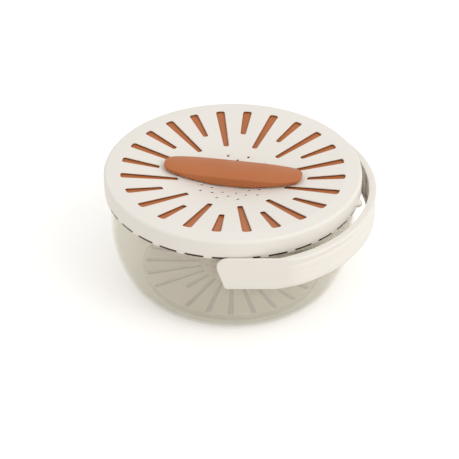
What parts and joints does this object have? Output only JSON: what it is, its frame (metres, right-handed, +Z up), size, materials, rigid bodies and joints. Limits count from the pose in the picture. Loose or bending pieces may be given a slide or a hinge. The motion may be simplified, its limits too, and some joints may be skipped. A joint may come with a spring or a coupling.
{
  "type": "storage container with colander",
  "caption": "Round food storage bowl with a lift-out colander, a dished vented lid with a rotary shutter and grip bar, a seal ring and a swinging carry handle.",
  "frame": {"origin": "middle of the container's flat base, on the surface it stands on", "axes": "+Z up along the bowl's axis, +X towards the middle of the carry handle's grip at rest, +Y towards the back"},
  "size_m": [0.254, 0.246, 0.1144],
  "materials": {
    "clear_plastic": "clear, warm tint, glossy",
    "basket_plastic": "translucent, satin",
    "cream_plastic": "satin",
    "terracotta_plastic": "satin",
    "seal_rubber": "matte",
    "screw_steel": "satin"
  },
  "bodies": {
    "container_body": {"container": "clear_plastic"},
    "colander_body": {"colander": "basket_plastic"},
    "lid_body": {"lid_cover": "cream_plastic", "lid_seal": "seal_rubber"},
    "vent_dial": {"vent_plate": "terracotta_plastic", "bar_handle": "terracotta_plastic", "retaining_screw": "screw_steel", "screw_washer": "screw_steel"},
    "carry_handle_body": {"carry_handle": "cream_plastic"}
  },
  "joints": [
    {"name": "colander_lift", "type": "slide", "parent": "container_body", "child": "colander_body", "axis": [0, 0, 1], "range_m": [0, 0.12]},
    {"name": "lid_lift", "type": "slide", "parent": "colander_body", "child": "lid_body", "axis": [0, 0, 1], "range_m": [0, 0.09]},
    {"name": "vent_turn", "type": "hinge", "parent": "lid_body", "child": "vent_dial", "pos_m": [0, 0, 0.102], "axis": [0, 0, 1], "range_deg": [0, 7.5]},
    {"name": "handle_swing", "type": "hinge", "parent": "container_body", "child": "carry_handle_body", "pos_m": [0, 0, 0.0802], "axis": [0, -1, 0], "range_deg": [0, 180]}
  ]
}
